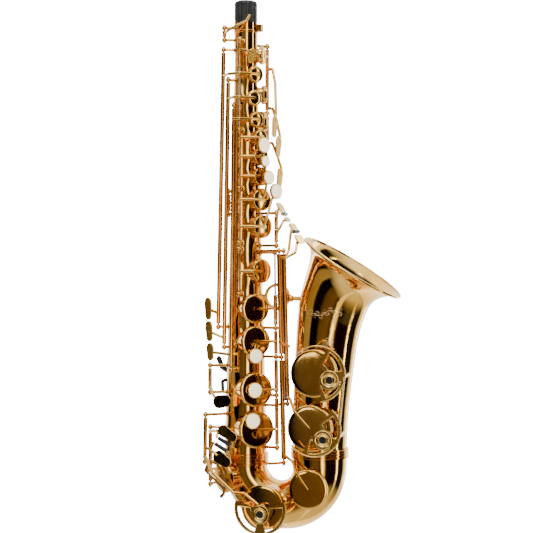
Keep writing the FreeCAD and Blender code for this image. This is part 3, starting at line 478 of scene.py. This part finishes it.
for node, thing in NODES.items():
    if not node.startswith("pearl_"):
        continue
    centre, axis, radius, half = disc_of(node)
    where = frame_at(centre, axis)
    body = thing["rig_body"]
    touch = Shapes().turned([
        (0, -half), (radius - 0.3, -half), (radius - 0.05, -half + 0.3), (radius - 0.05, half - 0.9),
        (radius - 0.35, half - 0.35), (radius - 1.1, half - 0.02), (radius * 0.6, half - 0.1),
        (radius * 0.3, half - 0.22), (0, half - 0.26)], where, 64)
    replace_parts(touch.piece(f"{node}_face", PEARL, "pearl", body, 60), node)
    Shapes().turned([
        (radius + 0.02, -half), (radius + 0.02, half - 1.0), (radius + 0.25, half - 0.75),
        (radius + 0.6, half - 0.85), (radius + 0.88, half - 1.3), (radius + 0.9, -half - 1.2),
        (radius + 0.5, -half - 1.4), (radius + 0.02, -half - 1.4), (radius + 0.02, -half)],
        where, 64).piece(f"{node}_rim", KEY_GOLD, "key_lacquer", body, 50)

# ---------------------------------------------------------------- sleeves on the hinges

LINES = {
    # name: upper end, lower end, heights of the posts
    "upper_stack": (at(-6.5, 21.5, -13), at(-7.5, 28, -239), (-13, -113.5, -178.5, -239)),
    "g_sharp": (at(-7.5, 28, -246), at(-7.5, 29, -296), (-246, -296)),
    "lower_stack": (at(32.5, 13, -250), at(35, 18.5, -467), (-250, -334, -366, -409, -467)),
    "bell_flat": (at(37, 22, -248), at(42.5, 24.5, -483), ()),
    "bell_natural": (at(42.4, 19, -248), at(46.6, 20.5, -418), ()),
    "table": (at(34, 16, -205.8), at(34, 16, -242), (-205.8, -242)),
    "side_high": (at(-25, 3, -22), at(-31, 4, -333), (-22, -333)),
    "side_middle": (at(-19.5, 14, -57), at(-24, 18, -355), (-57, -355)),
    "side_low": (at(-13, 20.5, -86), at(-16, 27, -380), (-86, -380)),
    "palm": (at(24, -14, -16), at(24, -14, -131), (-16, -91.5, -131)),
    "octave": (at(-24, 4, 2.4), at(-24, 4, -11), (2.4, -11)),
    "pip": (at(-20, -18, -180), at(-20, -18, -206), (-180, -206)),
    "low_c": (at(-44.6, 22, -430), at(-45.3, 23, -482), (-430, -482)),
    "low_e_flat": (at(-40, 0, -446), at(-40, 0, -510), (-446,)),
    "high_f_sharp": (at(-40, 9, -376), at(-40, 9, -406), (-376, -406)),
}
SLEEVES = {
    # key: its line, and its tube's lower and upper heights
    "key_c": ("upper_stack", -131.8, -117), "key_b": ("upper_stack", -154, -132.2),
    "key_bis": ("upper_stack", -175, -154.4), "key_a": ("upper_stack", -205, -182),
    "key_g": ("upper_stack", -235.5, -205.4), "front_f_key": ("upper_stack", -44, -16.4),
    "key_f_sharp": ("lower_stack", -330.5, -297), "key_f": ("lower_stack", -362.5, -337.5),
    "key_e": ("lower_stack", -405.5, -369.5), "key_d": ("lower_stack", -463.5, -412.5),
    "key_g_sharp": ("g_sharp", -292.5, -249.5), "g_sharp_lever": ("table", -223.8, -209.5),
    "c_sharp_lever": ("table", -238.5, -224.2), "side_e": ("side_high", -329.5, -25.5),
    "side_c": ("side_middle", -351.5, -60.5), "side_b_flat": ("side_low", -376.5, -89.5),
    "palm_f": ("palm", -44, -19.5), "palm_e_flat": ("palm", -88, -44.5),
    "palm_d": ("palm", -127.5, -95), "octave_ring_lever": ("octave", -7.6, -1),
    "octave_pip_key": ("pip", -202.5, -183.5), "low_b_flat_key": ("bell_flat", -362.5, -251.5),
    "low_b_key": ("bell_natural", -414.5, -251.5),
    "low_c_sharp_key": ("bell_flat", -479.5, -369.5),
    "low_e_flat_key": ("low_e_flat", -506.5, -449.5), "low_c_key": ("low_c", -478.5, -433.5),
    "high_f_sharp_key": ("high_f_sharp", -402.5, -379.5),
}
THICK = {"low_b_flat_key": 2.8, "low_b_key": 2.8, "low_c_sharp_key": 2.8, "side_e": 2.5,
         "side_c": 2.5, "side_b_flat": 2.5}


def on_line(line, height):
    upper, lower, _ = LINES[line]
    return lower + (upper - lower) * ((height - lower.z) / (upper.z - lower.z))


for label, (line, bottom, top) in SLEEVES.items():
    start, end = on_line(line, bottom), on_line(line, top)
    length = (end - start).length
    r = THICK.get(label, 2.3)
    ends = [(2.0, 0), (r + 0.05, 0), (r + 0.2, 0.2), (r + 0.2, 1.5), (r, 1.8)]
    outline = ends + [(radius, length - height) for radius, height in reversed(ends)]
    Shapes().turned(outline, frame_at(start, end - start), 32) \
        .piece(f"{label}_sleeve", SHADED_TUBE_GOLD, "key_lacquer", label, 40)

# ---------------------------------------------------------------- feet of the posts and screws

screws, feet = Shapes(), Shapes()
for line, (upper, lower, heights) in LINES.items():
    along = (upper - lower).normalized()
    for end, way in ((upper, along), (lower, -along)):
        where = frame_at(end + way * 2.6, way)
        screws.turned([(0, 0.45), (1.0, 0.45), (1.0, 0.75), (1.55, 0.75), (1.75, 0.5),
                       (1.75, 0), (0, 0)], where, 24)
    for height in heights:
        here = on_line(line, height)
        away = Vector((here.x, here.y, 0)).normalized()
        if height > -474:
            foot = frame_at(UP * height + away * (tube_radius(height) - 0.4), away)
            feet.turned([(0, 0), (3.3, 0), (3.3, 0.8), (2.9, 1.1), (2.0, 1.3), (1.75, 2.2),
                         (1.6, 3.4), (0, 3.4)], foot, 28)
screws.piece("pivot_screws", STEEL, "steel", "body", 30)
feet.piece("post_feet", SHADED_POST_GOLD, "post_lacquer", "body", 50)

# ---------------------------------------------------------------- bumpers of the guards

def around(hole, rise, reach, turn):
    """A point above a hole's rim, at a reach and a clockwise turn from straight up."""
    rim, normal, _ = hole
    sideways = UP.cross(normal).normalized()
    turned = math.radians(turn)
    return rim + normal * rise + sideways * (reach * math.sin(turned)) \
        + normal.cross(sideways) * (reach * math.cos(turned))


GUARDS = {
    # key: rise, bumper's reach and turn, web's reach, start and sweep, outer edge's two ends
    "low_b_flat_key": (18, 15, 115, 31, 20, 150, (-48, 172)),
    "low_b_key": (18.5, 15, 137, 30, 45, 160, (43, 236)),
    "low_c_key": (17.5, 6, 180, 29.5, 75, 210, (73, 287)),
}
WEB_END, WEB_RIB = 10, 13                   # degrees of web left at an end and beside the rib

rings = Shapes()
for label, (rise, reach, turn, *_) in GUARDS.items():
    hole = CUPS[label]
    where = frame_at(around(hole, rise, reach, turn), hole[1])
    rings.turned([(7.45, 2.2), (7.6, 3.4), (7.1, 4.0), (6.5, 3.6), (6.2, 3.2), (5.6, 3.3),
                  (5.1, 3.9), (4.5, 4.1), (3.9, 3.7), (3.7, 3.1), (7.45, 2.2)], where, 56)
    rings.turned([(7.6, 2.35), (9.0, 2.35), (9.9, 2.6), (10.3, 3.0), (9.9, 3.3), (8.9, 3.3),
                  (7.7, 3.0), (7.6, 2.35)], where, 56)
rings.piece("bumper_rings", LIT_GUARD_GOLD, "guard_lacquer", "body", 50)

# raised edges of the guards' webs and windows
edges = Shapes()
for label, (rise, _, _, reach, start, sweep, rail) in GUARDS.items():
    hole = CUPS[label]
    arc = [around(hole, rise + 1.7, reach - 0.7, rail[0] + (rail[1] - rail[0]) * i / 60)
           for i in range(61)]
    edges.swept(arc, 0.85, 8)
    half = sweep / 2
    for first, last in ((start + WEB_END, start + half - WEB_RIB),
                        (start + half + WEB_RIB, start + sweep - WEB_END)):
        turns = [first + (last - first) * i / 24 for i in range(25)]
        loop = [around(hole, rise + 1.9, reach - 3.6, turn) for turn in turns] \
            + [around(hole, rise + 1.9, reach - 18.7, turn) for turn in reversed(turns)]
        edges.swept(loop + loop[:1], 0.6, 8)
edges.piece("guard_edges", LIT_GUARD_GOLD, "guard_lacquer", "body", 60)

# ---------------------------------------------------------------- scrolls on the bell

bell = NODES["bell"]
tree = BVHTree.FromPolygons([v.co for v in bell.data.vertices],
                            [tuple(p.vertices) for p in bell.data.polygons])
SCROLL_MIDDLE = Vector((90, 0, -316))


def on_bell(u, v):
    """The point on the bell's outside at a place right of and above the ornament's middle."""
    origin = SCROLL_MIDDLE + ACROSS * u + UP * v + OUT * 90
    hit, _, _, _ = tree.ray_cast(origin * MM, -OUT)
    return hit / MM if hit else None


def scroll(shapes, u, v, heading, length, curl, width=0.22, steps=46):
    """A curling stem that starts at (u, v) and winds up more and more tightly."""
    points = []
    step = length / steps
    for i in range(steps + 1):
        point = on_bell(u, v)
        if point is None:
            break
        points.append(point)
        heading += curl * (0.4 + 2.6 * (i / steps) ** 2) / steps
        u += step * math.cos(heading)
        v += step * math.sin(heading)
    if len(points) > 3:
        shapes.swept(points, lambda t: width * (1 - 0.6 * abs(2 * t - 0.8)), 6)


def leaf(shapes, u, v, heading, length, bend):
    for side in (-1, 1):
        points = []
        for i in range(13):
            t = i / 12
            bulge = math.sin(math.pi * t) * length * 0.24 * side
            turn = heading + bend * t
            points.append(on_bell(u + length * t * math.cos(turn) - bulge * math.sin(turn),
                                  v + length * t * math.sin(turn) + bulge * math.cos(turn)))
        if all(point is not None for point in points):
            shapes.swept(points, lambda t: 0.10 + 0.10 * math.sin(math.pi * t), 6)


def vine(u):
    """The height of the ornament's wandering stem at a place along it."""
    return 0.16 * u + 1.9 * math.sin(u / 3.1)


engraving = Shapes()
stem = [on_bell(u / 2, vine(u / 2)) for u in range(-34, 35)]
engraving.swept([p for p in stem if p], lambda t: 0.16 + 0.20 * math.sin(math.pi * t), 6)
for i, u in enumerate((-14, -10.5, -7, -3.5, 0, 3.5, 7, 10.5, 14)):
    side = 1 if i % 2 else -1
    leaf(engraving, u, vine(u), side * 0.95 + 0.15, 5.6, -0.7 * side)
    scroll(engraving, u, vine(u), -side * 0.7, 7.5, -4.6 * side, 0.2, 22)
for side in (-1, 1):
    scroll(engraving, -17, vine(-17), math.pi + 0.5 * side, 9, 4.8 * side, 0.22, 26)
    scroll(engraving, 17, vine(17), 0.5 * side, 9, 4.8 * side, 0.22, 26)
for petal in range(8):
    leaf(engraving, 4, -33, petal * math.pi / 4, 6.5, 0.25)
    scroll(engraving, 4, -33, (petal + 0.5) * math.pi / 4, 10, 3.6, 0.18, 24)
engraving.piece("bell_scrolls", ENGRAVED, "body_lacquer", "body", 60)

# ---------------------------------------------------------------- studio

floor_mesh = bpy.data.meshes.new("floor")
low = cad_low.z - 0.0005
floor_mesh.from_pydata([(-40, -40, low), (40, -40, low), (40, 40, low), (-40, 40, low)], [],
                       [(0, 1, 2, 3)])
floor = bpy.data.objects.new("floor", floor_mesh)
bpy.context.scene.collection.objects.link(floor)
paper = Nodes("floor_paper", Roughness=0.8, Emission_Color=(1, 1, 1, 1), Emission_Strength=17.0)
floor_mesh.materials.append(paper.done(
    paper.ramp(paper.noise(3, 2), (0.3, (0.90, 0.90, 0.90)), (0.7, (0.92, 0.92, 0.92)))))
floor.visible_glossy = False
floor.visible_diffuse = False

MIDDLE = Vector((0.05, 0, -0.27))


def softbox(name, where, width, height, power, tone=(1, 1, 1)):
    light = bpy.data.lights.new(name, "AREA")
    light.shape = "RECTANGLE"
    light.size, light.size_y, light.energy, light.color = width, height, power, tone
    lamp = bpy.data.objects.new(name, light)
    bpy.context.scene.collection.objects.link(lamp)
    lamp.location = where
    lamp.rotation_mode = "QUATERNION"
    lamp.rotation_quaternion = (MIDDLE - where).to_track_quat("-Z", "Y")
    return lamp


softbox("left_box", MIDDLE + ACROSS * -1.5 + OUT * 0.14 + UP * 0.1, 0.3, 1.6, 6) \
    .visible_glossy = False
softbox("right_box", MIDDLE + ACROSS * 1.46 + OUT * 0.36, 0.12, 1.6, 4)
softbox("front_strip", MIDDLE + ACROSS * 0.27 + OUT * 1.46 + UP * 0.1, 0.16, 1.5, 3)
softbox("cup_box", MIDDLE - ACROSS * 0.88 + OUT * 1.20 + UP * 0.19, 0.42, 0.36, 1.6)
softbox("top_box", MIDDLE + UP * 1.2 + OUT * 0.5, 0.9, 0.4, 5)
softbox("high_front_box", MIDDLE + UP * 0.9 + OUT * 1.5 - ACROSS * 0.2, 0.8, 0.45, 4)
softbox("back_left", MIDDLE - OUT * 1.2 - ACROSS * 0.8, 0.35, 1.4, 5)
softbox("back_right", MIDDLE - OUT * 1.1 + ACROSS * 1.0, 0.35, 1.4, 5)

world = bpy.data.worlds.new("studio")
bpy.context.scene.world = world
world.use_nodes = True
sky = world.node_tree
sky.nodes.clear()
rays = add_node(sky, "ShaderNodeLightPath").outputs
direction = add_node(sky, "ShaderNodeTexCoord").outputs["Generated"]


def sky_span(value, from_low, from_high, low, high):
    return add_node(sky, "ShaderNodeMapRange", {
        "Value": value, "From Min": from_low, "From Max": from_high,
        "To Min": low, "To Max": high}).outputs["Result"]


rightward, frontward = [
    add_node(sky, "ShaderNodeVectorMath", {0: direction, 1: axis},
             operation="DOT_PRODUCT").outputs["Value"] for axis in (ACROSS, OUT)]
bearing = add_node(sky, "ShaderNodeMath", {0: rightward, 1: frontward},
                   operation="ARCTAN2").outputs["Value"]
cards = add_node(sky, "ShaderNodeValToRGB", {"Fac": sky_span(bearing, -math.pi, math.pi, 0, 1)})
# what stands around the object at each bearing: degrees to the right of the front, and tone
AROUND = ((-180, (2.2, 2.2, 2.2)), (-124, (1.6, 1.6, 1.6)), (-115, (0.03, 0.015, 0.01)),
          (-104, (0.0, 0.0, 0.0)), (-100, (0.34, 0.28, 0.20)), (-74, (0.42, 0.34, 0.24)),
          (-70, (0.0, 0.0, 0.0)), (-46, (0.0, 0.0, 0.0)), (-38, (0.11, 0.075, 0.045)),
          (-12, (0.17, 0.12, 0.07)), (1, (0.05, 0.03, 0.015)), (4, (1.6, 1.6, 1.6)),
          (17, (1.5, 1.5, 1.5)), (20, (0.20, 0.14, 0.08)), (26, (0.01, 0.0, 0.0)),
          (70, (0.01, 0.0, 0.0)), (73, (1.2, 1.2, 1.2)), (79, (1.2, 1.2, 1.2)),
          (82, (0.01, 0.01, 0.01)), (112, (0.01, 0.01, 0.01)), (121, (1.6, 1.6, 1.6)),
          (180, (2.2, 2.2, 2.2)))
while len(cards.color_ramp.elements) < len(AROUND):
    cards.color_ramp.elements.new(0.5)
for element, (angle, tone) in zip(cards.color_ramp.elements, AROUND):
    element.position = (angle + 180) / 360
    element.color = (*tone, 1)
height = add_node(sky, "ShaderNodeSeparateXYZ", {0: direction}).outputs["Z"]
ends = add_node(sky, "ShaderNodeMath", {0: sky_span(height, 0.45, 0.85, 0, 1.6),
                                        1: sky_span(height, -0.45, -0.80, 0, 0.95)},
                operation="ADD").outputs["Value"]
room = add_node(sky, "ShaderNodeVectorMath", {0: cards.outputs["Color"], 1: ends},
                operation="MAXIMUM").outputs["Vector"]
FILL, BACKDROP = (3.0, 2.85, 2.6, 1), (18, 18, 18, 1)
lit = add_node(sky, "ShaderNodeMix", {0: rays["Is Glossy Ray"], 6: FILL, 7: room},
               data_type="RGBA").outputs[2]
seen = add_node(sky, "ShaderNodeMix", {0: rays["Is Camera Ray"], 6: lit, 7: BACKDROP},
                data_type="RGBA").outputs[2]
glow = add_node(sky, "ShaderNodeBackground", {"Color": seen, "Strength": 1.0})
add_node(sky, "ShaderNodeOutputWorld", {"Surface": glow.outputs["Background"]})

LENS_MM, CAMERA_DISTANCE = 105, 1.75
lens = bpy.data.cameras.new("camera")
lens.lens = LENS_MM
camera = bpy.data.objects.new("camera", lens)
bpy.context.scene.collection.objects.link(camera)
aim = ACROSS * 0.0232 + UP * -0.2654
camera.location = aim + OUT * CAMERA_DISTANCE
camera.rotation_mode = "QUATERNION"
camera.rotation_quaternion = (-OUT).to_track_quat("-Z", "Y")
bpy.context.scene.camera = camera
